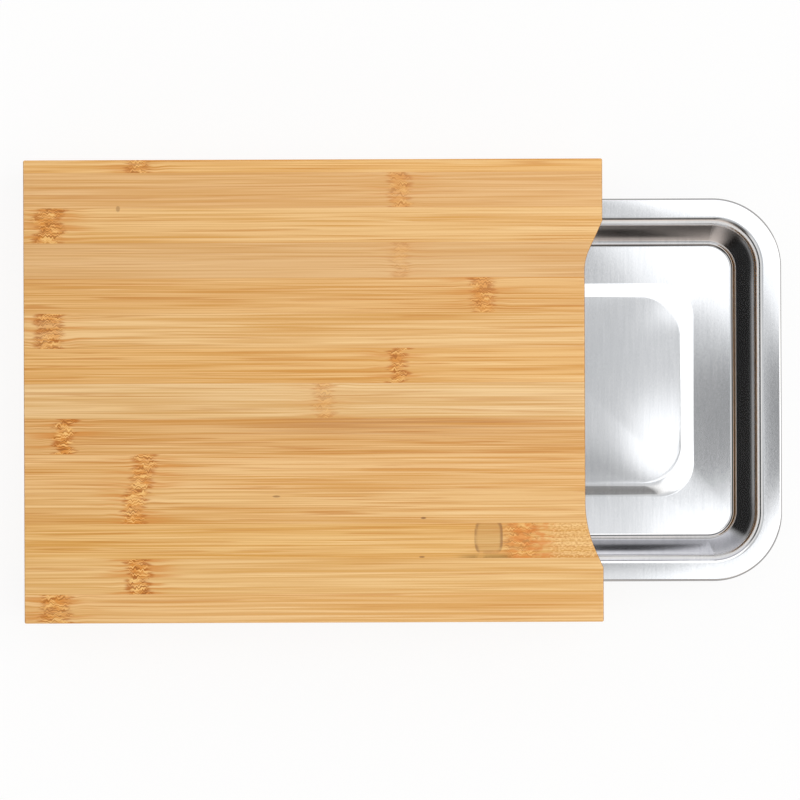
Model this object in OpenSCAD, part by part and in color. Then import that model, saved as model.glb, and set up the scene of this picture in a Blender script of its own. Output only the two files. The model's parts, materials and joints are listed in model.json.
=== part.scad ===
// Laminated bamboo chopping board on two side rails, with a pressed steel tray that slides under it.
// Millimetres, +Z up. X runs along the staves, and the tray comes out towards +X.
// The origin lies on the worktop, under the middle of the board and its drawn-out tray.

/* [Board] */
// Length of the board, along its staves
board_l = 400; // [340:5:480]
// Width of the board, across its staves
board_w = 320; // [270:5:400]
// Thickness of the top and of the bottom layer of staves
face_ply = 6.5; // [5:0.5:9]
// Thickness of the crosswise core between the two layers
core_ply = 7; // [5:0.5:12]
// Staves side by side in each layer
stave_n = 14; // [8:1:14]
// Width left on the stave that is trimmed at the far edge
first_stave_w = 9; // [5:0.5:24]
// Width left on the stave that is trimmed at the near edge
last_stave_w = 20; // [5:0.5:24]
// Slats side by side in the core
slat_n = 17; // [10:1:18]

/* [Finger recess] */
// How deep the recess is cut into the board's front end
recess_depth = 12.4; // [6:0.2:18]
// Square end left between the far edge and the recess
far_land = 43; // [32:0.5:60]
// Square end left between the near edge and the recess
near_land = 37.5; // [32:0.5:60]
// Angle between a shoulder of the recess and the board's end
shoulder_angle = 24.5; // [15:0.5:40]
// Radius that blends the far shoulder into the recess
far_blend_r = 35; // [10:1:100]
// Radius that blends the near shoulder into the recess
near_blend_r = 85; // [10:1:100]

/* [Rails] */
// Width of a side rail
rail_w = 25; // [22:0.5:34]
// Width of the rear rail
rear_rail_w = 37; // [24:1:50]
// Play between the tray's rim and a side rail
side_play = 1.5; // [0.8:0.1:3]
// Play between the closed tray and the rear rail
end_play = 3; // [1:0.5:8]
// Headroom between the tray's rim and the board
head_gap = 1.5; // [0.8:0.1:4]
// Height of the tray's base above the lower edge of the rails
base_gap = 1.5; // [0.5:0.1:6]

/* [Tray] */
// How far the tray is drawn out past the board
tray_out = 126; // [0:1:200]
// Depth of the tray, from its rim to the underside of its base
tray_depth = 40; // [28:0.5:60]
// Thickness of the steel sheet
sheet_t = 0.8; // [0.5:0.1:1.2]
// Flat width of the rim, from its edge to the bend into the wall
rim_w = 12; // [9:0.5:16]
// Height of the hem turned down round the rim
hem_h = 3.5; // [2.5:0.1:6]
// Outside radius of the bend into the hem
hem_r = 1.6; // [1.4:0.1:2.4]
// Distance of the base's flat from the edge of the rim, seen from above
base_inset = 32; // [29:0.5:36]
// Radius of the bend between the rim and the wall, on the top side
rim_bend_r = 4; // [2:0.5:6]
// Radius of the bend between the wall and the base, on the top side
base_bend_r = 6; // [2:0.5:9]
// Corner radius of the rim, seen from above
corner_r = 48; // [42:1:56]
// Flat left on the base between its bend and the raised panel
panel_margin = 26.5; // [18:0.5:40]
// Width of the slope round the raised panel
slope_w = 7.5; // [3:0.5:12]
// Height of the raised panel over the base
panel_rise = 1.2; // [0.4:0.1:2.5]
// Corner radius of the raised panel, at the foot of its slope
panel_r = 24; // [16:1:40]

/* [Feet] */
// Diameter of a rubber foot
foot_d = 20; // [16:0.5:22]
// Height of a rubber foot
foot_h = 4; // [3:0.5:8]
// Bevel round the lower edge of a foot
foot_bevel = 0.8; // [0.3:0.1:1.2]
// Distance from a foot to the end of its rail
foot_margin = 10; // [4:1:30]

/* [Screws] */
// Shank diameter of a rail screw
screw_d = 4; // [3:0.5:5]
// Head diameter of a rail screw
screw_head_d = 8; // [6:0.5:10]
// Head height of a rail screw
screw_head_h = 2.6; // [2:0.1:4]
// Depth of the counterbore that takes the screw's head
screw_sink = 18; // [6:1:22]
// How far a rail screw bites into the board
screw_bite = 11; // [8:0.5:11.5]
// Clear distance along the rail from a foot to the first screw
screw_from_foot = 18; // [10:1:40]
// Screws in each side rail
screws_per_rail = 4; // [2:1:6]
// Number of the bottom stave, counted in from each edge, whose middle takes a screw of the rear rail
rear_screw_stave = 3; // [3:1:4]
// Shank diameter of a foot screw
foot_screw_d = 3; // [2.5:0.5:3.5]
// Head diameter of a foot screw
foot_head_d = 6.4; // [5:0.2:8]
// Head height of a foot screw
foot_head_h = 1.6; // [1.2:0.1:1.8]
// How far a foot screw bites into its rail
foot_bite = 12; // [8:0.5:16]
// How far a foot screw's head stays off the worktop
foot_head_lift = 0.6; // [0.3:0.1:1]
// Radial clearance of a screw in its hole
screw_fit = 0.1; // [0.05:0.05:0.3]

/* [Hidden] */
$fn = 64;
// Steps along each blended shoulder of the recess, and along each bend of the sheet
blend_steps = 12;
bend_steps = 8;
// How far a cutting shape runs past the face that it cuts
overcut = 1;
// Share of a screw's diameter in the bevel of its head and in the width of its cross slot
bevel_share = 0.1;
slot_share = 0.2;
// Share of a screw's head in the reach and in the depth of its cross slot
slot_reach_share = 0.55;
slot_depth_share = 0.6;

// Heights of the layers, from the worktop up
rail_h = tray_depth + head_gap + base_gap;
board_z = foot_h + rail_h;
core_z = board_z + face_ply;
top_z = core_z + core_ply;
rim_z = board_z - head_gap;
runner_h = rail_h - head_gap - hem_h;

// Spans of the rails and of the tray between them
front_x = board_l / 2;
rail_y = board_w / 2 - rail_w / 2;
bay_w = board_w - 2 * rail_w;
bay_l = board_l - rear_rail_w;
tray_w = bay_w - 2 * side_play;
tray_l = bay_l - end_play;
runner_w = side_play + rim_w;
runner_y = bay_w / 2 - runner_w / 2;
rear_x = rear_rail_w / 2 - front_x;
runner_x = front_x - bay_l / 2;
tray_x = front_x + tray_out - tray_l / 2;

// Edges between the staves, counted from the far edge of the board
stave_w = (board_w - first_stave_w - last_stave_w) / (stave_n - 2);
stave_edges = concat(
    [board_w / 2],
    [for (i = [0 : stave_n - 2]) board_w / 2 - first_stave_w - i * stave_w],
    [-board_w / 2]
);
slat_w = board_l / slat_n;

function stave_middle(i) = (stave_edges[i - 1] + stave_edges[i]) / 2;

// Outline of the recess, from its far shoulder to its near one
recess_x = front_x - recess_depth;
far_y = board_w / 2 - far_land;
near_y = near_land - board_w / 2;
shoulder_run = recess_depth / tan(shoulder_angle);

// Points of the blend at the foot of a shoulder, from the flat of the recess outwards
function blend_points(r, foot_y, side) =
    let (start_y = foot_y - side * r * tan(shoulder_angle / 2))
    [for (i = [0 : blend_steps])
        let (turn = shoulder_angle * i / blend_steps)
        [recess_x + r * (1 - cos(turn)), start_y + side * r * sin(turn)]];

function reversed(list) = [for (i = [len(list) - 1 : -1 : 0]) list[i]];

recess_outline = concat(
    [[front_x + overcut, far_y], [front_x, far_y]],
    reversed(blend_points(far_blend_r, far_y - shoulder_run, 1)),
    blend_points(near_blend_r, near_y + shoulder_run, -1),
    [[front_x, near_y], [front_x + overcut, near_y]]
);

// Section of the tray's edge, as distances from the centre of its corner and from the top of the rim.
// The wall touches both bends, so its lean follows from where their centres are.
base_r = corner_r - base_inset;
hem_c = [corner_r - hem_r, -hem_r];
rim_bend_c = [corner_r - rim_w, -rim_bend_r];
base_bend_c = [base_r, base_bend_r + sheet_t - tray_depth];
bend_step = rim_bend_c - base_bend_c;
wall_lean = atan(bend_step.x / bend_step.y) - asin((rim_bend_r + base_bend_r) / norm(bend_step));
wall_turn = 90 - wall_lean;

function arc_points(centre, r, from, to) =
    [for (i = [0 : bend_steps])
        let (a = from + (to - from) * i / bend_steps)
        centre + r * [cos(a), sin(a)]];

// One side of the sheet from its hem to its base, at a depth below the top side
function sheet_side(depth) = concat(
    [[corner_r - depth, -hem_h]],
    arc_points(hem_c, hem_r - depth, 0, 90),
    arc_points(rim_bend_c, rim_bend_r - depth, 90, 90 + wall_turn),
    arc_points(base_bend_c, base_bend_r + depth, 270 + wall_turn, 270)
);

edge_section = concat(sheet_side(0), reversed(sheet_side(sheet_t)));

// Raised panel in the tray's base
panel_l = tray_l - 2 * (base_inset + panel_margin);
panel_w = tray_w - 2 * (base_inset + panel_margin);

// Places of the feet and screws
foot_x = front_x - foot_margin - foot_d / 2;
first_screw_x = foot_x - foot_d / 2 - screw_from_foot;
screw_pitch = 2 * first_screw_x / (screws_per_rail - 1);
foot_points = [for (x = [-foot_x, foot_x], y = [-rail_y, rail_y]) [x, y]];
rail_screw_points = concat(
    [for (i = [0 : screws_per_rail - 1], y = [-rail_y, rail_y]) [first_screw_x - i * screw_pitch, y]],
    [for (i = [rear_screw_stave, stave_n + 1 - rear_screw_stave]) [rear_x, -stave_middle(i)]]
);
screw_seat_z = foot_h + screw_sink;
screw_l = rail_h - screw_sink + screw_bite;
foot_seat_z = foot_head_lift + foot_head_h;
foot_screw_l = foot_h - foot_seat_z + foot_bite;

function two_digits(i) = i < 10 ? str("0", i) : str(i);
top_names = [for (i = [1 : stave_n]) str("top_stave_", two_digits(i))];
bottom_names = [for (i = [1 : stave_n]) str("bottom_stave_", two_digits(i))];
slat_names = [for (i = [1 : slat_n]) str("core_slat_", two_digits(i))];
foot_names = [for (i = [1 : len(foot_points)]) str("foot_", i)];

// Block from its lower corner to its upper corner
module block(low, high) {
    translate(low)
        cube(high - low);
}

module quarter_disc(r) {
    intersection() {
        circle(r);
        square(2 * r);
    }
}

module rounded_plate(l, w, r) {
    square([l - 2 * r, w], center = true);
    square([l, w - 2 * r], center = true);
    for (flip_x = [0, 1], flip_y = [0, 1])
        mirror([flip_x, 0])
            mirror([0, flip_y])
                translate([l / 2 - r, w / 2 - r])
                    quarter_disc(r);
}

// Carries a section, drawn from the centre of a corner, round a rounded rectangle
module round_sweep(l, w, r) {
    for (turn = [0, 180]) {
        rotate(turn)
            translate([l / 2 - r, 0, 0])
                rotate([90, 0, 0])
                    linear_extrude(w - 2 * r, center = true)
                        children();
        rotate(turn + 90)
            translate([w / 2 - r, 0, 0])
                rotate([90, 0, 0])
                    linear_extrude(l - 2 * r, center = true)
                        children();
    }
    corners = [[1, 1], [-1, 1], [-1, -1], [1, -1]];
    for (i = [0 : 3])
        translate([corners[i].x * (l / 2 - r), corners[i].y * (w / 2 - r), 0])
            rotate(90 * i)
                rotate_extrude(angle = 90)
                    children();
}

// Pan-head screw that points up, with its head's seat at the origin
module screw(d, head_d, head_h, length) {
    bevel = bevel_share * head_d;
    slot_w = slot_share * head_d;
    slot_l = slot_reach_share * head_d;
    slot_h = slot_depth_share * head_h;
    difference() {
        rotate_extrude()
            polygon([
                [0, -head_h],
                [head_d / 2 - bevel, -head_h],
                [head_d / 2, bevel - head_h],
                [head_d / 2, 0],
                [d / 2, 0],
                [d / 2, length - d],
                [0, length]
            ]);
        for (turn = [0, 90])
            rotate(turn)
                translate([-slot_l / 2, -slot_w / 2, -head_h - overcut])
                    cube([slot_l, slot_w, slot_h + overcut]);
    }
}

// Hole for such a screw, with a counterbore that runs out below its seat
module screw_hole(d, head_d, length, sink) {
    cylinder(d = d + 2 * screw_fit, h = length + screw_fit);
    translate([0, 0, -sink - overcut])
        cylinder(d = head_d + 2 * screw_fit, h = sink + overcut);
}

module rail_screw_holes() {
    for (p = rail_screw_points)
        translate([p.x, p.y, screw_seat_z])
            screw_hole(screw_d, screw_head_d, screw_l, screw_sink);
}

module foot_screw_holes() {
    for (p = foot_points)
        translate([p.x, p.y, foot_seat_z])
            screw_hole(foot_screw_d, foot_head_d, foot_screw_l, foot_seat_z);
}

module finger_recess() {
    translate([0, 0, board_z - overcut])
        linear_extrude(2 * face_ply + core_ply + 2 * overcut)
            polygon(recess_outline);
}

// The top layer runs from the far edge to the near edge, and the bottom layer the other way round
module top_stave(i) {
    color("burlywood")
        difference() {
            block([-front_x, stave_edges[i], top_z], [front_x, stave_edges[i - 1], top_z + face_ply]);
            finger_recess();
        }
}

module bottom_stave(i) {
    color("tan")
        difference() {
            block([-front_x, -stave_edges[i - 1], board_z], [front_x, -stave_edges[i], core_z]);
            finger_recess();
            rail_screw_holes();
        }
}

module core_slat(i) {
    color("peru")
        difference() {
            block(
                [(i - 1) * slat_w - front_x, -board_w / 2, core_z],
                [i * slat_w - front_x, board_w / 2, top_z]
            );
            finger_recess();
            rail_screw_holes();
        }
}

module side_rail(side) {
    color("burlywood")
        difference() {
            translate([-front_x, side * rail_y - rail_w / 2, foot_h])
                cube([board_l, rail_w, rail_h]);
            rail_screw_holes();
            foot_screw_holes();
        }
}

// Ledge that carries the tray's hem
module runner(side) {
    color("tan")
        translate([runner_x - bay_l / 2, side * runner_y - runner_w / 2, foot_h])
            cube([bay_l, runner_w, runner_h]);
}

module rear_rail() {
    color("burlywood")
        difference() {
            translate([-front_x, -bay_w / 2, foot_h])
                cube([rear_rail_w, bay_w, rail_h]);
            rail_screw_holes();
        }
}

// Slope that lifts the panel over the base
module panel_edge() {
    polygon([
        [panel_r, 0],
        [panel_r, sheet_t],
        [panel_r - slope_w, sheet_t + panel_rise],
        [panel_r - slope_w, panel_rise]
    ]);
}

module tray_base() {
    linear_extrude(sheet_t)
        difference() {
            rounded_plate(tray_l - 2 * base_inset, tray_w - 2 * base_inset, base_r);
            rounded_plate(panel_l, panel_w, panel_r);
        }
    round_sweep(panel_l, panel_w, panel_r)
        panel_edge();
    translate([0, 0, panel_rise])
        linear_extrude(sheet_t)
            rounded_plate(panel_l - 2 * slope_w, panel_w - 2 * slope_w, panel_r - slope_w);
}

module tray() {
    color("silver")
        translate([tray_x, 0, rim_z]) {
            round_sweep(tray_l, tray_w, corner_r)
                polygon(edge_section);
            translate([0, 0, -tray_depth])
                tray_base();
        }
}

module foot(i) {
    inner_r = foot_screw_d / 2 + screw_fit;
    head_r = foot_head_d / 2 + screw_fit;
    color("dimgray")
        translate([foot_points[i - 1].x, foot_points[i - 1].y, 0])
            rotate_extrude()
                polygon([
                    [inner_r, foot_h],
                    [inner_r, foot_seat_z],
                    [head_r, foot_seat_z],
                    [head_r, 0],
                    [foot_d / 2 - foot_bevel, 0],
                    [foot_d / 2, foot_bevel],
                    [foot_d / 2, foot_h]
                ]);
}

module rail_screws() {
    color("gainsboro")
        for (p = rail_screw_points)
            translate([p.x, p.y, screw_seat_z])
                screw(screw_d, screw_head_d, screw_head_h, screw_l);
}

module foot_screws() {
    color("gainsboro")
        for (p = foot_points)
            translate([p.x, p.y, foot_seat_z])
                screw(foot_screw_d, foot_head_d, foot_head_h, foot_screw_l);
}

// Shifts the board so that the origin lies under the middle of the board and the drawn-out tray
module placed() {
    translate([-tray_out / 2, 0, 0])
        children();
}

for (i = [1 : stave_n]) {
    placed() top_stave(i);
    placed() bottom_stave(i);
}
for (i = [1 : slat_n]) {
    placed() core_slat(i);
}
placed() side_rail(1);  // far_side_rail
placed() side_rail(-1);  // near_side_rail
placed() runner(1);  // far_runner
placed() runner(-1);  // near_runner
placed() rear_rail();
placed() tray();
for (i = [1 : len(foot_points)]) {
    placed() foot(i);
}
placed() rail_screws();
placed() foot_screws();
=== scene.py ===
import json
import math
import random

import bmesh
import bpy
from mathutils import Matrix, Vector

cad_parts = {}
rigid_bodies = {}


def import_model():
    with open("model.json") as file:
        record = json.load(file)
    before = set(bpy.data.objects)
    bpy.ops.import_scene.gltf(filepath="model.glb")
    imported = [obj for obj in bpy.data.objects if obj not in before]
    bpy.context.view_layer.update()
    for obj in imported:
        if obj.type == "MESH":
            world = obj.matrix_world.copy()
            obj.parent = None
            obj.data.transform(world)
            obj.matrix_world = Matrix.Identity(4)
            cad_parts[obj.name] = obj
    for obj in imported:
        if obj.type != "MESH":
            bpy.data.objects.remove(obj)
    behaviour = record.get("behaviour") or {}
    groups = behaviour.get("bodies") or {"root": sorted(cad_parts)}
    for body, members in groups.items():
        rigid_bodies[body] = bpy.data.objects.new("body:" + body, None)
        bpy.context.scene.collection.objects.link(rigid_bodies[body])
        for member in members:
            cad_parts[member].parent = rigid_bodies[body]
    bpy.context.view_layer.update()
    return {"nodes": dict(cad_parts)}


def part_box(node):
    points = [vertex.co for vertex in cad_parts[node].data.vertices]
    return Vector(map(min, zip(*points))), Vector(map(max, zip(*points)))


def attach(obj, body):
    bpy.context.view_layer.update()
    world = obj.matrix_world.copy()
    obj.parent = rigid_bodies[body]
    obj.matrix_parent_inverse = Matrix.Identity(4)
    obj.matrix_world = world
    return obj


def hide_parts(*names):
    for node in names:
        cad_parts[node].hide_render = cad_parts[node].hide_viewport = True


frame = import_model()

# Top layer of the board: fourteen flat bamboo staves, planed and glued edge to edge, then oiled.
# Each shows the long fibres of the cane and one knuckle where the cane had a joint.
# The board's outer arrises and corners are eased with a light sanding.
board_arris, arris_steps = 0.0011, 3
weld = 1e-5
board_low, board_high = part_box("top_stave_14")[0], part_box("top_stave_01")[1]
recess_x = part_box("top_stave_07")[1].x


def edit(piece, kind):
    """Opens one piece alone in edit mode, to pick vertices or edges, with nothing selected."""
    bpy.ops.object.select_all(action="DESELECT")
    bpy.context.view_layer.objects.active = piece
    piece.select_set(True)
    bpy.ops.object.mode_set(mode="EDIT")
    bpy.ops.mesh.select_mode(type=kind)
    bpy.ops.mesh.select_all(action="DESELECT")


def eased_copy(node, planes, arris):
    """A copy of a wooden piece with the arrises between its outer faces rounded over.
    A face is an outer one if it lies on one of the planes, or in the board's front end."""
    level, sharp, soft = math.radians(0.5), math.radians(30), math.radians(35)
    piece = bpy.data.objects.new(node + "_planed", frame["nodes"][node].data.copy())
    bpy.context.collection.objects.link(piece)
    piece.data.materials.clear()
    edit(piece, "EDGE")
    bpy.ops.mesh.select_all(action="SELECT")
    bpy.ops.mesh.customdata_custom_splitnormals_clear()
    bpy.ops.mesh.remove_doubles(threshold=weld)
    bpy.ops.mesh.dissolve_limited(angle_limit=level)
    bpy.ops.mesh.select_all(action="DESELECT")
    shape = bmesh.from_edit_mesh(piece.data)

    def outer(face):
        at = face.calc_center_median()
        in_front = face.normal.x > 0.8 and at.x > recess_x - weld
        return in_front or any(
            abs(at[axis] - place) < weld and abs(face.normal[axis]) > 0.9 for axis, place in planes
        )

    for edge in shape.edges:
        if len(edge.link_faces) == 2 and edge.calc_face_angle() > sharp:
            edge.select_set(all(outer(face) for face in edge.link_faces))
    bpy.ops.mesh.bevel(offset=arris, segments=arris_steps, affect="EDGES")

    # The bevel lifts a vertex at some corners, so none is left past the piece's own box.
    low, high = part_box(node)
    for v in bmesh.from_edit_mesh(piece.data).verts:
        v.co = [min(max(v.co[axis], low[axis]), high[axis]) for axis in range(3)]
    bpy.ops.object.mode_set(mode="OBJECT")
    bpy.ops.object.shade_smooth_by_angle(angle=soft)
    return piece


def srgb(red, green, blue):
    """Linear colour of an sRGB one, given from 0 to 255."""
    return tuple(((c / 255 + 0.055) / 1.055) ** 2.4 for c in (red, green, blue)) + (1.0,)


def shifted(colour, step):
    """The colour with each channel moved by a step, all from 0 to 255."""
    return tuple(c + s for c, s in zip(colour, step))


class Shade:
    """A socket of a material. Sums with it add Math nodes, and node() adds any other node."""

    def __init__(self, tree, socket):
        self.tree = tree
        self.socket = socket

    def node(self, kind, settings, sockets, output=0):
        made = self.tree.nodes.new(kind)
        for name, setting in settings.items():
            setattr(made, name, setting)
        for name, given in sockets.items():
            if isinstance(given, Shade):
                self.tree.links.new(given.socket, made.inputs[name])
            else:
                made.inputs[name].default_value = given
        return Shade(self.tree, made.outputs[output])

    def sum(self, operation, first, second=0.0):
        return self.node("ShaderNodeMath", {"operation": operation}, {0: first, 1: second})

    def __add__(self, other):
        return self.sum("ADD", self, other)

    def __radd__(self, other):
        return self.sum("ADD", other, self)

    def __sub__(self, other):
        return self.sum("SUBTRACT", self, other)

    def __rsub__(self, other):
        return self.sum("SUBTRACT", other, self)

    def __mul__(self, other):
        return self.sum("MULTIPLY", self, other)

    def __rmul__(self, other):
        return self.sum("MULTIPLY", other, self)

    def __abs__(self):
        return self.sum("ABSOLUTE", self)

    def most(self, other):
        return self.sum("MAXIMUM", self, other)

    def rise(self, low, high):
        """0 below low, 1 above high, and a smooth step between them."""
        sockets = {"Value": self, "From Min": low, "From Max": high}
        return self.node("ShaderNodeMapRange", {"interpolation_type": "SMOOTHSTEP"}, sockets)

    def fall(self, low, high):
        return 1 - self.rise(low, high)

    def blend(self, colour, other):
        """The colour where this value is 0, and the other one where it is 1."""
        sockets = {0: self, 6: colour, 7: other}
        return self.node("ShaderNodeMix", {"data_type": "RGBA"}, sockets, 2)

    def parts(self):
        split = self.node("ShaderNodeSeparateXYZ", {}, {0: self}).socket.node
        return [Shade(self.tree, part) for part in split.outputs]

    def joined(self, x, y, z):
        return self.node("ShaderNodeCombineXYZ", {}, {0: x, 1: y, 2: z})

    def noise(self, scale, shift, detail):
        """Noise on this vector, scaled per metre along each axis and shifted."""
        placed = self.node(
            "ShaderNodeMapping", {}, {"Vector": self, "Location": shift, "Scale": scale}
        )
        sockets = {"Vector": placed, "Scale": 1.0, "Detail": detail}
        return self.node("ShaderNodeTexNoise", {}, sockets)


def new_finish(name):
    """An empty material with its shader, and a piece's own coordinates and normal."""
    finish = bpy.data.materials.new(name)
    finish.use_nodes = True
    tree = finish.node_tree
    place = tree.nodes.new("ShaderNodeTexCoord")
    at, normal = Shade(tree, place.outputs["Object"]), Shade(tree, place.outputs["Normal"])
    return finish, tree.nodes["Principled BSDF"], at, normal


def bamboo(name, run, colour, seed, knuckles=(), glue=(), marks=(), grain=1.0):
    """Oiled bamboo with its fibres along the run axis, 0 for X or 1 for Y, and a grain's contrast.
    A knuckle is its place along the run and across it, half its width, its slant and its strength.
    Glue lines lie at places across the run, and a mark adds its own colour."""
    pale = srgb(*shifted(colour, (11 * grain, 17 * grain, 24 * grain)))
    deep = srgb(*shifted(colour, (-11 * grain, -19 * grain, -27 * grain)))
    streak = srgb(*shifted(colour, (-26, -46, -58)))
    orange = srgb(212, 142, 66)
    rust = srgb(218, 140, 48)
    umber = srgb(154, 82, 16)
    cream = srgb(248, 214, 158)
    frayed_brown = srgb(184, 102, 26)
    hair = srgb(248, 206, 130)
    bundle = srgb(116, 72, 36)
    # End-grain colours: end grain's own darker tone, deepened as painted shade.
    shaded_cut_dim = srgb(*shifted(colour, (-62, -66, -58)))
    shaded_cut_pale = srgb(*shifted(colour, (-30, -34, -30)))
    bow_reach, stain_reach = 0.024, 0.030
    glue_half_w, glue_fade = 0.0001, 0.0005
    bundles_per_m = 1050.0

    finish, shader, at, normal = new_finish(name)
    part = at.parts()
    along, across, up = part[run], part[1 - run], part[2]
    end_on = abs(normal.parts()[run]).rise(0.55, 0.75)
    shift = (seed * 1.37, seed * 3.11, seed * 0.73)
    other = (seed * 2.19, seed * 0.57, seed * 1.83)

    # The fibres run straight, wander by a little more than their width, and crimp at each knuckle.
    straight = at.joined(along, across, up)
    wander = across + 0.0010 * (straight.noise((9, 26, 26), shift, 1.0) - 0.5)
    masks = []
    for place, middle, half, slant, strength in knuckles:
        ragged = 0.015 * (straight.noise((3, 420, 420), shift, 2.0) - 0.5)
        off = along - place - slant * (across - middle) + ragged
        bow = straight.noise((48, 80, 80), shift, 1.0) - 0.5
        crimp = straight.noise((330, 190, 190), other, 1.0) - 0.5
        wander = wander + abs(off).fall(half, half + bow_reach) * bow * 0.0034
        wander = wander + abs(off).fall(half * 0.8, half * 1.2) * crimp * 0.0016
        masks.append((off, half, strength))
    fibre = at.joined(along, wander, up)

    broad = fibre.noise((1.7, 80, 80), shift, 1.0)
    bands = fibre.noise((4, 330, 330), other, 1.0)
    fine = fibre.noise((9, 900, 900), shift, 1.0)
    tone = 0.22 * broad + 0.22 * bands + 0.56 * fine
    look = tone.rise(0.36, 0.64).blend(deep, pale)
    threads = fibre.noise((3.5, 520, 520), other, 0.0)
    present = fibre.noise((14, 260, 260), shift, 1.0).rise(0.40, 0.58)
    look = (0.55 * grain * present * abs(threads - 0.54).fall(0.015, 0.055)).blend(look, streak)
    look = (0.36 * grain * abs(threads - 0.40).fall(0.01, 0.045)).blend(look, cream)

    # A knuckle is a band of short, crimped fibre ends, brown and frayed along both its borders.
    # Fibres beside it are stained orange.
    relief = 0.6 * fine + 0.4 * bands
    for off, half, strength in masks:
        inside = abs(off).fall(half * 0.45, half * 1.3) * strength
        border = abs(abs(off) - half * 0.9).fall(0.0003, 0.0045) * strength
        zigzag = 0.0044 * (straight.noise((560, 200, 200), shift, 0.0) - 0.5)
        ends = at.joined(along, across + zigzag, up).noise((90, 900, 900), other, 1.0)
        frayed = straight.noise((70, 640, 640), shift, 1.0).rise(0.47, 0.58)
        stained = fibre.noise((15, 400, 400), shift, 1.0).rise(0.50, 0.60)
        flare = abs(off).fall(half, half + stain_reach) * stained
        stain = straight.noise((70, 130, 130), shift, 1.0).rise(0.36, 0.62)
        look = (0.70 * strength * flare).blend(look, orange)
        look = (0.36 * inside + 0.34 * inside * stain).blend(look, rust)
        look = (0.62 * border * frayed).blend(look, frayed_brown)
        look = (0.64 * inside * ends.fall(0.38, 0.48)).blend(look, umber)
        look = (0.68 * inside * ends.rise(0.54, 0.63)).blend(look, hair)
        relief = relief + inside * (ends - 0.5)
    for mark in marks:
        look = mark(at, look)
    for place in glue:
        seam = abs(across - place).fall(glue_half_w, glue_fade)
        look = (0.22 * seam).blend(look, streak)

    # End grain: dark dots of the cut fibre bundles in a paler ground, all well below the face's
    # tone, partly end grain's own darker colour and partly painted shade.
    section = at.joined(along * 0, across, up)
    dots = at.node("ShaderNodeTexVoronoi", {}, {"Vector": section, "Scale": bundles_per_m})
    cut = dots.fall(0.22, 0.46).blend(tone.blend(shaded_cut_dim, shaded_cut_pale), bundle)
    look = end_on.blend(look, cut)

    tree = finish.node_tree
    tree.links.new(look.socket, shader.inputs["Base Color"])
    tree.links.new((0.44 + 0.16 * fine).socket, shader.inputs["Roughness"])
    shader.inputs["Specular IOR Level"].default_value = 0.35
    sockets = {"Strength": 0.30, "Distance": 0.0002, "Height": relief}
    bump = relief.node("ShaderNodeBump", {}, sockets)
    tree.links.new(bump.socket, shader.inputs["Normal"])
    return finish


# From the far edge: where each stave's knuckle lies, as a distance from the board's left end, with
# half its width, its slant and its strength, then the stave's tone and the contrast of its grain.
top_staves = [
    (0.0800, 0.007, 0.0, 0.85, (226, 174, 101), 0.9),
    (0.260, 0.007, 0.0, 0.62, (223, 175, 114), 0.7),
    (0.018, 0.009, 0.0, 1.0, (226, 178, 110), 1.0),
    (0.261, 0.0055, 0.0, 0.25, (220, 174, 115), 0.6),
    (0.317, 0.0075, 0.0, 0.8, (220, 168, 98), 1.0),
    (0.018, 0.009, 0.0, 1.0, (226, 180, 115), 1.0),
    (0.259, 0.0052, 0.0, 1.0, (222, 170, 98), 1.0),
    (0.208, 0.006, 0.0, 0.40, (226, 185, 126), 0.9),
    (0.028, 0.006, 0.0, 1.2, (217, 165, 97), 1.0),
    (0.082, 0.007, 0.16, 1.0, (225, 176, 110), 1.0),
    (0.076, 0.007, 0.10, 1.1, (222, 173, 105), 1.0),
    (0.343, 0.011, 0.0, 0.75, (224, 175, 102), 1.0),
    (0.079, 0.007, 0.0, 1.2, (227, 182, 116), 0.8),
    (0.021, 0.010, 0.0, 1.0, (228, 181, 116), 0.9),
]


def branch_scar(at, look):
    """The planed-off foot of a branch: a dark rounded outline, dull inside, with a green streak."""
    scar_x, scar_y = 0.0577, -0.1010
    half_x, half_y = 0.0090, 0.0108
    x, y, z = at.parts()
    beside = (x - scar_x) * (1 / half_x)
    above = (y - scar_y) * (1 / half_y)
    beside_2, above_2 = beside * beside, above * above
    round_off = beside_2 * beside_2 + above_2 * above_2
    worn = at.noise((260, 200, 200), (0, 0, 0), 2.0)
    upright = 0.35 + 0.65 * abs(beside).rise(0.55, 0.90)
    outline = abs(round_off - 1).fall(0.10, 0.65) * upright * (0.3 + 0.7 * worn.rise(0.28, 0.58))
    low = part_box("top_stave_12")[0].y
    foot = (y - low).fall(0.0003, 0.0042) * abs(x - scar_x).fall(0.008, 0.028)
    look = (0.40 * round_off.fall(0.6, 1.2)).blend(look, srgb(190, 146, 84))
    look = (0.66 * foot * (0.4 + 0.6 * worn.rise(0.26, 0.52))).blend(look, srgb(146, 112, 50))
    return (0.66 * outline).blend(look, srgb(136, 92, 54))


def short_fibres(at, look):
    """Round its knuckle this stave is stained orange, and beyond it short, cut fibre ends show."""
    x, y, z = at.parts()
    blots = at.noise((120, 300, 300), (2.0, 1.0, 5.0), 2.0).rise(0.42, 0.60)
    ends = at.noise((520, 1000, 1000), (1.0, 4.0, 2.0), 1.0)
    stained = x.rise(0.068, 0.078) * x.fall(0.096, 0.108)
    cut = x.rise(0.095, 0.106)
    look = (0.62 * blots * stained).blend(look, srgb(216, 126, 46))
    look = (0.50 * cut * ends.fall(0.39, 0.47)).blend(look, srgb(198, 132, 66))
    return (0.50 * cut * ends.rise(0.54, 0.62)).blend(look, srgb(246, 208, 148))


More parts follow.
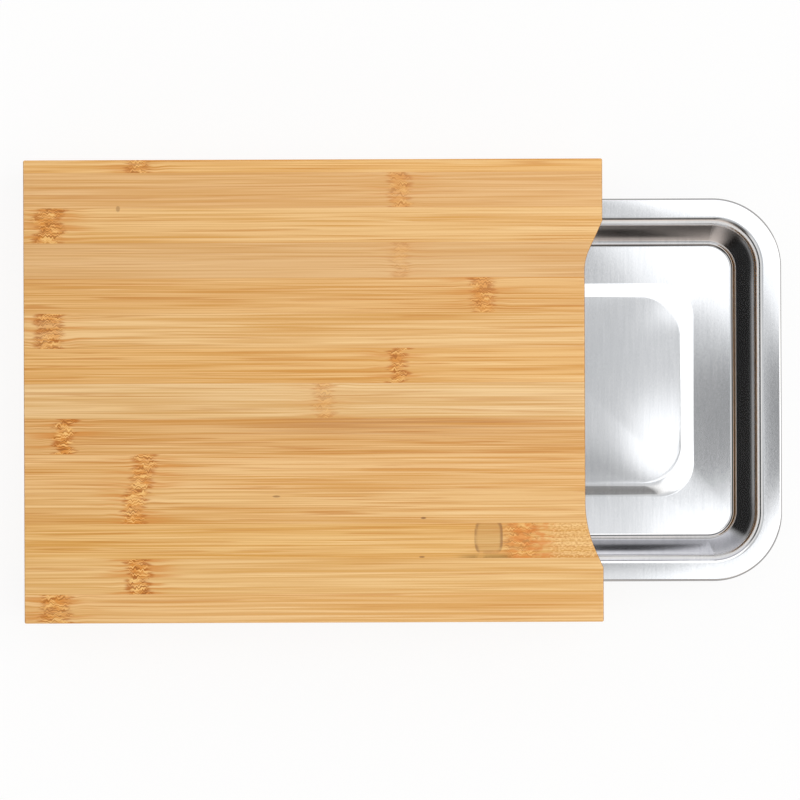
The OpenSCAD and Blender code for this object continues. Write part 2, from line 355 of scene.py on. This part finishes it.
def brown_stain(at, look):
    """A stretch of darker cane along the far half of one stave."""
    stain_x = -0.013
    x, y, z = at.parts()
    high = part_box("top_stave_09")[1].y
    stretch = abs(x - stain_x).fall(0.02, 0.17)
    far_half = (high - y).fall(0.006, 0.017)
    streaks = at.noise((6, 620, 620), (3.0, 1.0, 2.0), 2.0).rise(0.36, 0.60)
    return (0.55 * stretch * far_half * streaks).blend(look, srgb(184, 124, 68))


def dark_speck(place_x, place_y, half_x, half_y, strength):
    """A small dark fleck in the cane, by its middle, half its size and its strength."""

    def speck(at, look):
        x, y, z = at.parts()
        beside = (x - place_x) * (1 / half_x)
        above = (y - place_y) * (1 / half_y)
        inside = (beside * beside + above * above).fall(0.3, 1.6)
        return (strength * inside).blend(look, srgb(122, 76, 40))

    return speck


seam_speck = dark_speck(-0.1975, 0.1262, 0.0014, 0.0020, 0.42)
clear_fleck = dark_speck(0.0127, -0.0879, 0.0018, 0.0007, 0.75)
faint_fleck = dark_speck(-0.0888, -0.0727, 0.0026, 0.0007, 0.55)
edge_fleck = dark_speck(0.0116, -0.1148, 0.0019, 0.0006, 0.65)
marks = {
    2: [seam_speck],
    3: [seam_speck],
    9: [brown_stain],
    11: [clear_fleck, faint_fleck],
    12: [branch_scar, short_fibres, edge_fleck],
}
board_planes = [(0, board_low.x), (1, board_low.y), (1, board_high.y), (2, board_high.z)]
for i, (place, half, slant, strength, tone, grain) in enumerate(top_staves, 1):
    node = f"top_stave_{i:02d}"
    low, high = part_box(node)
    stave = eased_copy(node, board_planes, board_arris)
    knuckle = (board_low.x + place, (low.y + high.y) / 2, half, slant, strength)
    stave.data.materials.append(
        bamboo(f"bamboo_{node}", 0, tone, i, [knuckle], (low.y, high.y), marks.get(i, ()), grain)
    )
    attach(stave, "board")
    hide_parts(node)

# Core of the board: seventeen bamboo slats laid crosswise, glued between the two layers of staves.
# Only their ends show, along the board's long sides, and the last one's face in the finger recess.
slat_count = 17
core_tone = (214, 164, 104)
core_seed = 31
core_finish = bamboo("bamboo_core", 1, core_tone, core_seed)
for i in range(1, slat_count + 1):
    node = f"core_slat_{i:02d}"
    slat = eased_copy(node, board_planes, board_arris)
    slat.data.materials.append(core_finish)
    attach(slat, "board")
    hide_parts(node)

# Bottom layer of the board: fourteen staves like those on top, laid from the near edge.
# They are planed but not picked for looks, and the rails are screwed up against them.
bottom_count, bottom_seed = 14, 40
bottom_tones = [(226, 178, 110), (222, 173, 105), (217, 165, 97)]
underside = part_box("bottom_stave_01")[0].z
bottom_planes = [*board_planes[:3], (2, underside)]
cane = random.Random(5)
for i in range(1, bottom_count + 1):
    node = f"bottom_stave_{i:02d}"
    low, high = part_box(node)
    stave = eased_copy(node, bottom_planes, board_arris)
    place = board_low.x + cane.uniform(0.03, 0.36)
    half, strength = cane.uniform(0.006, 0.010), cane.uniform(0.6, 1.0)
    knuckle = (place, (low.y + high.y) / 2, half, 0.0, strength)
    tone = cane.choice(bottom_tones)
    stave.data.materials.append(
        bamboo(f"bamboo_{node}", 0, tone, bottom_seed + i, [knuckle], (low.y, high.y))
    )
    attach(stave, "board")
    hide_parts(node)

# Side rails, runners and rear rail: solid lengths of edge-glued bamboo strip, eased on every arris.
# The rails are screwed to the board from below, and the runners are glued inside the side rails.
rail_arris = 0.0011
rail_tone = (222, 172, 110)
rail_seed = 70
strip_w = 0.00625
rails = {"far_side_rail": 0, "near_side_rail": 0, "far_runner": 0, "near_runner": 0, "rear_rail": 1}
for i, (node, run) in enumerate(rails.items()):
    low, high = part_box(node)
    planes = [(axis, corner[axis]) for axis in range(3) for corner in (low, high)]
    rail = eased_copy(node, planes, rail_arris)
    width = high[1 - run] - low[1 - run]
    strips = max(2, round(width / strip_w))
    seams = [low[1 - run] + width * step / strips for step in range(1, strips)]
    rail.data.materials.append(bamboo(f"bamboo_{node}", run, rail_tone, rail_seed + i, (), seams))
    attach(rail, "board")
    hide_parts(node)

# Feet: four moulded discs of grey rubber, a little dusty, that keep the board from sliding.
# Each is held to the underside of its rail by a small screw.
foot_count = 4
finish, shader, at, normal = new_finish("foot_rubber")
dust = at.noise((900, 900, 900), (0, 0, 0), 3.0)
tone = dust.rise(0.35, 0.75).blend(srgb(44, 44, 46), srgb(74, 74, 76))
finish.node_tree.links.new(tone.socket, shader.inputs["Base Color"])
finish.node_tree.links.new((0.62 + 0.3 * dust).socket, shader.inputs["Roughness"])
for i in range(1, foot_count + 1):
    foot = frame["nodes"][f"foot_{i}"]
    foot.data.materials.clear()
    foot.data.materials.append(finish)

# Screws: bright zinc-plated steel, pan-headed with a cross slot.
# Ten hold the rails to the board from below, and four hold the feet, each sunk in its hole.
finish, shader, at, normal = new_finish("screw_zinc")
plating = at.noise((700, 700, 700), (0, 0, 0), 3.0)
tone = plating.rise(0.3, 0.7).blend(srgb(176, 178, 180), srgb(214, 214, 210))
finish.node_tree.links.new(tone.socket, shader.inputs["Base Color"])
finish.node_tree.links.new((0.22 + 0.25 * plating).socket, shader.inputs["Roughness"])
shader.inputs["Metallic"].default_value = 1.0
for node in ("rail_screws", "foot_screws"):
    screws = frame["nodes"][node]
    screws.data.materials.clear()
    screws.data.materials.append(finish)

# Tray: one pressed sheet of stainless steel with a hemmed rim, bowed walls and a raised panel.
# The base and the rim keep the brushed grain of the sheet, and the drawn walls are bright.
# It hangs by its hem on the two runners and slides on them.
sheet_t = 0.0008
hem_h, hem_r = 0.0034, 0.0016
rim_w, rim_bend_r = 0.0125, 0.0065
base_inset, base_bend_r = 0.032, 0.0038
wall_r = 0.250
corner_r = 0.048
panel_margin, panel_r, slope_w, panel_rise = 0.0257, 0.024, 0.0095, 0.0012
panel_top_r, panel_crown = 0.028, 0.0006
margin_rise = 0.0003
hem_steps, bend_steps, wall_steps, corner_steps = 8, 14, 12, 32
tray_low, tray_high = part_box("tray")
tray_middle = (tray_low + tray_high) / 2
rim_z, base_z = tray_high.z, tray_low.z + sheet_t

# The wall is a shallow arc that touches both bends, so its centre and lean follow from theirs.
base_r = corner_r - base_inset
rim_bend = (corner_r - rim_w, rim_z - rim_bend_r)
base_bend = (base_r, base_z + base_bend_r)
rim_reach, base_reach = wall_r + rim_bend_r, wall_r - base_bend_r
gap = math.dist(rim_bend, base_bend)
down = [(base_bend[i] - rim_bend[i]) / gap for i in range(2)]
near_part = (rim_reach**2 - base_reach**2 + gap**2) / (2 * gap)
side_part = math.sqrt(rim_reach**2 - near_part**2)
wall_bow = (
    rim_bend[0] + near_part * down[0] + side_part * down[1],
    rim_bend[1] + near_part * down[1] - side_part * down[0],
)
top_lean = math.asin((wall_bow[1] - rim_bend[1]) / rim_reach)
foot_lean = math.asin((wall_bow[1] - base_bend[1]) / base_reach)
corners = [
    (tray_high.x - corner_r, tray_high.y - corner_r),
    (tray_low.x + corner_r, tray_high.y - corner_r),
    (tray_low.x + corner_r, tray_low.y + corner_r),
    (tray_high.x - corner_r, tray_low.y + corner_r),
]


def pull(x, y, z):
    """Extrudes what is selected by a step."""
    bpy.ops.mesh.extrude_region_move(TRANSFORM_OT_translate={"value": (x, y, z)})


def turn_section(centre, angle, steps):
    """Spins the end of the section about a bend's centre, given from the corner's axis."""
    middle = (corners[3][0] + centre[0], corners[3][1], centre[1])
    bpy.ops.mesh.spin(steps=steps, angle=angle, center=middle, axis=(0, 1, 0))


# The section is drawn at the near end of the front side, from the hem to the base.
start = (corners[3][0] + corner_r, corners[3][1], rim_z - hem_h)
bpy.ops.object.select_all(action="DESELECT")
bpy.ops.mesh.primitive_plane_add(size=sheet_t, location=start)
tray = bpy.context.object
tray.name = "pressed_tray"
bpy.ops.object.transform_apply(location=True)
edit(tray, "VERT")
bpy.ops.mesh.select_all(action="SELECT")
bpy.ops.mesh.merge(type="CENTER")
pull(0, 0, hem_h - hem_r)
turn_section((corner_r - hem_r, rim_z - hem_r), math.pi / 2, hem_steps)
pull(hem_r - rim_w, 0, 0)
turn_section(rim_bend, math.pi / 2 - top_lean, bend_steps)
turn_section(wall_bow, top_lean - foot_lean, wall_steps)
turn_section(base_bend, foot_lean - math.pi / 2, bend_steps)

# The section is carried along each side and round each corner.
bpy.ops.mesh.select_all(action="SELECT")
for i, (x, y) in enumerate(corners):
    before = corners[i - 1]
    pull(x - before[0], y - before[1], 0)
    bpy.ops.mesh.spin(
        steps=corner_steps, angle=-math.pi / 2, center=(x, y, 0), axis=(0, 0, 1)
    )
bpy.ops.mesh.select_all(action="SELECT")
bpy.ops.mesh.remove_doubles(threshold=weld)


def inner_loop():
    """Selects the open edge round the base."""
    shape = bmesh.from_edit_mesh(tray.data)
    bpy.ops.mesh.select_all(action="DESELECT")
    for edge in shape.edges:
        inside = all(v.co.z < (rim_z + base_z) / 2 for v in edge.verts)
        if edge.is_boundary and inside:
            edge.select_set(True)


def resize_loop(old_inset, old_r, inset, r, lift):
    """Extrudes the open edge round the base to one with another inset and corner radius."""
    inner_loop()
    pull(0, 0, lift)
    shape = bmesh.from_edit_mesh(tray.data)
    loop = [v for v in shape.verts if v.select]
    move = inset + r - old_inset - old_r
    for side_x in (-1, 1):
        for side_y in (-1, 1):
            bpy.ops.mesh.select_all(action="DESELECT")
            for v in loop:
                off = v.co - tray_middle
                v.select_set(off.x * side_x > 0 and off.y * side_y > 0)
            shape.select_flush(True)
            axis = (
                tray_middle.x + side_x * ((tray_high.x - tray_low.x) / 2 - old_inset - old_r),
                tray_middle.y + side_y * ((tray_high.y - tray_low.y) / 2 - old_inset - old_r),
                0,
            )
            bpy.ops.transform.resize(value=(r / old_r, r / old_r, 1), center_override=axis)
            bpy.ops.transform.translate(value=(-side_x * move, -side_y * move, 0))


foot_inset = base_inset + panel_margin
resize_loop(base_inset, base_r, foot_inset, panel_r, margin_rise)

# The slope up to the panel is rounded at its foot and at its top.
slope_steps = 10
loop = (foot_inset, panel_r, 0.0)
for i in range(1, slope_steps + 1):
    part = i / slope_steps
    height = panel_rise * part**2 * (3 - 2 * part)
    upper = (foot_inset + slope_w * part, panel_r + (panel_top_r - panel_r) * part, height)
    resize_loop(loop[0], loop[1], upper[0], upper[1], upper[2] - loop[2])
    loop = upper

# The panel is filled with a grid, so its four straight edges first get steps like its corners'.
long_edge, side_cuts = 0.02, 11
bpy.ops.mesh.select_mode(type="EDGE")
inner_loop()
shape = bmesh.from_edit_mesh(tray.data)
for edge in shape.edges:
    edge.select_set(edge.select and edge.calc_length() > long_edge)
bpy.ops.mesh.subdivide(number_cuts=side_cuts)
inner_loop()
bpy.ops.mesh.fill_grid(span=corner_steps + side_cuts + 1, offset=0)
bpy.ops.mesh.select_all(action="SELECT")
bpy.ops.mesh.normals_make_consistent(inside=False)
shape = bmesh.from_edit_mesh(tray.data)
inmost = min(shape.faces, key=lambda face: (face.calc_center_median() - tray_middle).length)
if inmost.normal.z < 0:
    bpy.ops.mesh.flip_normals()

# Pressing left the panel a little proud in its middle: it is raised, and eased down to its edge.
bpy.ops.mesh.select_mode(type="VERT")
bpy.ops.mesh.select_all(action="DESELECT")
shape = bmesh.from_edit_mesh(tray.data)
for v in shape.verts:
    level_there = all(face.normal.z > 0.9999 for face in v.link_faces)
    if level_there and v.co.z > base_z + margin_rise + panel_rise * 0.99:
        v.select_set(True)
bpy.ops.transform.translate(value=(0, 0, panel_crown))
crown_rounds, edge_rounds = 600, 8
upright_only = {"factor": 0.5, "xaxis": False, "yaxis": False, "zaxis": True}
bpy.ops.mesh.vertices_smooth(repeat=crown_rounds, **upright_only)
bpy.ops.mesh.select_more()
bpy.ops.mesh.vertices_smooth(repeat=edge_rounds, **upright_only)
bpy.ops.object.mode_set(mode="OBJECT")
thickness = tray.modifiers.new("sheet", "SOLIDIFY")
thickness.thickness = sheet_t
thickness.offset = -1
bpy.ops.object.modifier_apply(modifier=thickness.name)
bpy.ops.object.shade_smooth_by_angle(angle=math.radians(40))
flats = tray.modifiers.new("flats", "WEIGHTED_NORMAL")
flats.keep_sharp = True
bpy.ops.object.modifier_apply(modifier=flats.name)

# The steel is brushed and a little cloudy. Its colour holds a painted dark reflection in the bend
# round its base and a painted shadow line on the outside of its hem.
# It is dull where it was stretched: in the rim's bend, on the panel's slope and at the corners.
finish, shader, at, normal = new_finish("brushed_steel")
x, y, z = at.parts()
turned = normal.parts()
outward = turned[0] * (x - tray_middle.x) + turned[1] * (y - tray_middle.y)
# Painted shadow: the outward faces of the hem are marked for a darker colour.
painted_hem_shadow = outward.rise(0.03, 0.08) * z.rise(rim_z - 2 * hem_h, rim_z - hem_h)
brushed = at.noise((2600, 500, 500), (0, 0, 0), 2.0)
grain = at.noise((620, 45, 45), (4, 1, 3), 1.0)
cloud = at.noise((16, 10, 16), (2, 5, 1), 1.0)
drawn = z.rise(base_z + 0.002, base_z + 0.008) * z.fall(rim_z - 0.004, rim_z - 0.001)
flat = 1 - drawn
sheen = (0.2 * grain + 0.3 * brushed + 0.5 * cloud).rise(0.3, 0.7)
# Painted dark reflection: faces low in the bend round the base, leaning up, are marked for a darker
# colour.
painted_crease_reflection = turned[2].fall(0.955, 0.975) * turned[2].rise(0.80, 0.90)
painted_crease_reflection = painted_crease_reflection * z.fall(base_z + 0.0008, base_z + 0.0014)
steel = sheen.blend(srgb(214, 215, 217), srgb(231, 231, 232))
# Painted dark reflection: the crease of the base bend is darkened in colour.
steel = (0.75 * painted_crease_reflection).blend(steel, srgb(70, 66, 64))
# Painted shadow line on the hem's outer face.
steel = (0.60 * painted_hem_shadow).blend(steel, srgb(96, 92, 88))
finish.node_tree.links.new(steel.socket, shader.inputs["Base Color"])
bent = z.rise(rim_z - 0.0058, rim_z - 0.0040) * z.fall(rim_z - 0.0008, rim_z - 0.0003)
slope_foot = base_z + margin_rise
slope_top = slope_foot + panel_rise
sloped = z.rise(slope_foot + 0.00002, slope_foot + 0.0003) * z.fall(slope_top - 0.0003, slope_top)
cornered = drawn * abs(turned[0] * turned[1]).rise(0.0, 0.03) * abs(turned[1]).rise(0.60, 0.90)
rough = 0.07 - 0.03 * flat + 0.03 * flat * brushed
rough = rough + 0.18 * bent + 0.08 * sloped + 0.14 * cornered
finish.node_tree.links.new(rough.socket, shader.inputs["Roughness"])
shader.inputs["Metallic"].default_value = 1.0
relief = brushed * flat * 0.02 + cloud
sockets = {"Strength": 0.2, "Distance": 0.0002, "Height": relief}
bump = relief.node("ShaderNodeBump", {}, sockets)
finish.node_tree.links.new(bump.socket, shader.inputs["Normal"])
tray.data.materials.clear()
tray.data.materials.append(finish)
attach(tray, "tray")
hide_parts("tray")

# Floor: a flat white sheet of paper, matt, and so bright that it is seen as plain white.
# It keeps the soft shadow that the board and the tray cast.
bpy.ops.object.select_all(action="DESELECT")
floor_w, own_white = 16, 0.88
bpy.ops.mesh.primitive_plane_add(size=floor_w, location=(0, 0, 0))
floor = bpy.context.object
floor.name = "paper_floor"
finish, shader, at, normal = new_finish("white_paper")
tree = finish.node_tree
shader.inputs["Base Color"].default_value = (0.92, 0.92, 0.92, 1)
shader.inputs["Roughness"].default_value = 0.9
path = tree.nodes.new("ShaderNodeLightPath")
seen = Shade(tree, path.outputs["Is Camera Ray"])
seen = seen.most(Shade(tree, path.outputs["Is Glossy Ray"]))
seen = seen.most(Shade(tree, path.outputs["Is Transmission Ray"]))
glow = tree.nodes.new("ShaderNodeEmission")
glow.inputs["Strength"].default_value = 1.0
both = tree.nodes.new("ShaderNodeMixShader")
tree.links.new((own_white * seen).socket, both.inputs[0])
tree.links.new(shader.outputs[0], both.inputs[1])
tree.links.new(glow.outputs[0], both.inputs[2])
tree.links.new(both.outputs[0], tree.nodes["Material Output"].inputs["Surface"])
floor.data.materials.append(finish)

# Light: a bright studio tent with soft boxes overhead, open in the middle where the camera hangs.
# The tent is darker high up on the left, on the near side and on the far side, as the walls show.
key_place, key_tilt = (3.2, 0.5, 3.2), math.radians(45)
key_w, key_power = 2.6, 26.0
bpy.ops.object.light_add(type="AREA", location=key_place)
key_box = bpy.context.object
key_box.name = "key_box"
key_box.rotation_euler = (0, key_tilt, 0)
key_box.data.shape = "RECTANGLE"
key_box.data.size = key_box.data.size_y = key_w
key_box.data.energy = key_power
key_box.visible_camera = False
world = bpy.data.worlds.new("studio")
bpy.context.scene.world = world
world.use_nodes = True
tree = world.node_tree

# Seen from the tray, z is how high a place in the tent lies, and beside and beyond its heading.
way = Shade(tree, tree.nodes.new("ShaderNodeTexCoord").outputs["Generated"])
x, y, z = way.parts()
flat = way.sum("SQRT", 1.0001 - z * z)
beside, beyond = way.sum("DIVIDE", x, flat), way.sum("DIVIDE", y, flat)
top = z.rise(0.950, 0.997)
below = 1 - top
near, far = (0 - beyond).rise(0.62, 0.84), beyond.rise(0.62, 0.84)

# Soft boxes: three overhead, to the far right, near right and right, and strips on two sides.
# Two small spots and a pale band show in the panel.
far_box = (y + 0.8 * x).rise(0.113, 0.127) * z.rise(0.88, 0.92)
near_box = (0.6 * x - y).rise(0.094, 0.110) * (0 - y).fall(0.070, 0.086) * x.rise(0.062, 0.082)
right_box = (x + 0.25 * y).rise(0.090, 0.110) * (0 - y).rise(0.02, 0.05) * z.rise(0.84, 0.88)
right_strip = below * beside.rise(0.30, 0.50) * z.rise(0.84, 0.87)
far_strip = below * far * z.rise(0.862, 0.880)
boxes = far_box.most(near_box).most(right_strip).most(far_strip).most(right_box)
flare_x, flare_y = (x - 0.091) * 70, (y + 0.019) * 42
flare = (flare_x * flare_x + flare_y * flare_y).fall(0.05, 1.2)
gleam_x, gleam_y = (x - 0.095) * 80, (y - 0.037) * 80
gleam = (gleam_x * gleam_x + gleam_y * gleam_y).fall(0.0, 1.3)
strip = top * (0 - y).rise(0.050, 0.058) * (0 - y).fall(0.070, 0.090)

# Dark places: the camera's own shade and a notch beside it, a black flag on the left, the dim
# sides of the room, and a narrow dark stand on the near and on the far side.
shade = x.rise(0.100, 0.114) * x.fall(0.15, 0.19) * abs(y + 0.008).fall(0.012, 0.036)
notch = top * x.fall(0.068, 0.090) * (0 - y).rise(0.014, 0.036) * (0 - y).fall(0.044, 0.056)
flag = z.rise(0.58, 0.68) * z.fall(0.82, 0.87)
flag = flag * (0 - beside).rise(0.18, 0.60) * beyond.fall(0.55, 0.85)
corner = beside.fall(0.02, 0.18) * (0 - beside).fall(0.05, 0.34)
dim = near * below * z.rise(0.66, 0.86) * (1 - 0.45 * corner) * beside.fall(0.25, 0.36)
near_stand = near * z.rise(0.762, 0.784) * z.fall(0.835, 0.87)
near_stand = near_stand * beside.rise(0.080, 0.105) * beside.fall(0.132, 0.152)
far_stand = far * z.rise(0.780, 0.802) * z.fall(0.838, 0.860)
far_stand = far_stand * beside.rise(0.080, 0.105) * beside.fall(0.146, 0.168)
far_grey = far * z.rise(0.715, 0.77) * z.fall(0.846, 0.864) * beside.fall(0.146, 0.170)

# The tent's own level is 1, a little less overhead, and a soft box is brighter than that.
box_level = 1.6
flag_dark, side_dark, stand_dark, grey_dark = 0.97, 0.84, 0.90, 0.48
overhead = 0.14 + 0.13 * x.fall(0.064, 0.088)
far_edge = 0.12 * y.rise(0.046, 0.052) - 0.24 * y.rise(0.057, 0.064)
level = 1.0 - top * overhead - 0.48 * shade + 0.28 * strip - 0.20 * notch
level = level + top * far_edge * x.fall(0.066, 0.080)
level = level.most(box_level * boxes) + 0.9 * flare + 0.6 * gleam
level = level * (1 - flag_dark * flag) * (1 - side_dark * dim) * (1 - stand_dark * near_stand)
level = level * (1 - stand_dark * far_stand) * (1 - grey_dark * far_grey)
back = tree.nodes["Background"]
tree.links.new(level.socket, back.inputs["Strength"])
tint = top.blend((1, 0.99, 0.97, 1), (0.97, 0.985, 1, 1))
sides = z.rise(0.50, 0.60) * z.fall(0.86, 0.91)
tint = (near * sides).blend(tint, (1, 0.87, 0.78, 1))
tint = (far * sides).blend(tint, (0.95, 0.95, 1, 1))
tree.links.new(tint.socket, back.inputs["Color"])

# Camera: straight down over the board, far enough back for the tray's walls to show little.
# It hangs a little off the middle and is turned a fraction of a degree.
camera_place, camera_turn = (-0.0032, -0.0064, 2.267), math.radians(-0.207)
bpy.ops.object.camera_add(location=camera_place, rotation=(0, 0, camera_turn))
camera = bpy.context.object
camera.data.lens = 143.39
camera.data.sensor_width = 36
bpy.context.scene.camera = camera
bpy.context.scene.view_settings.view_transform = "Standard"
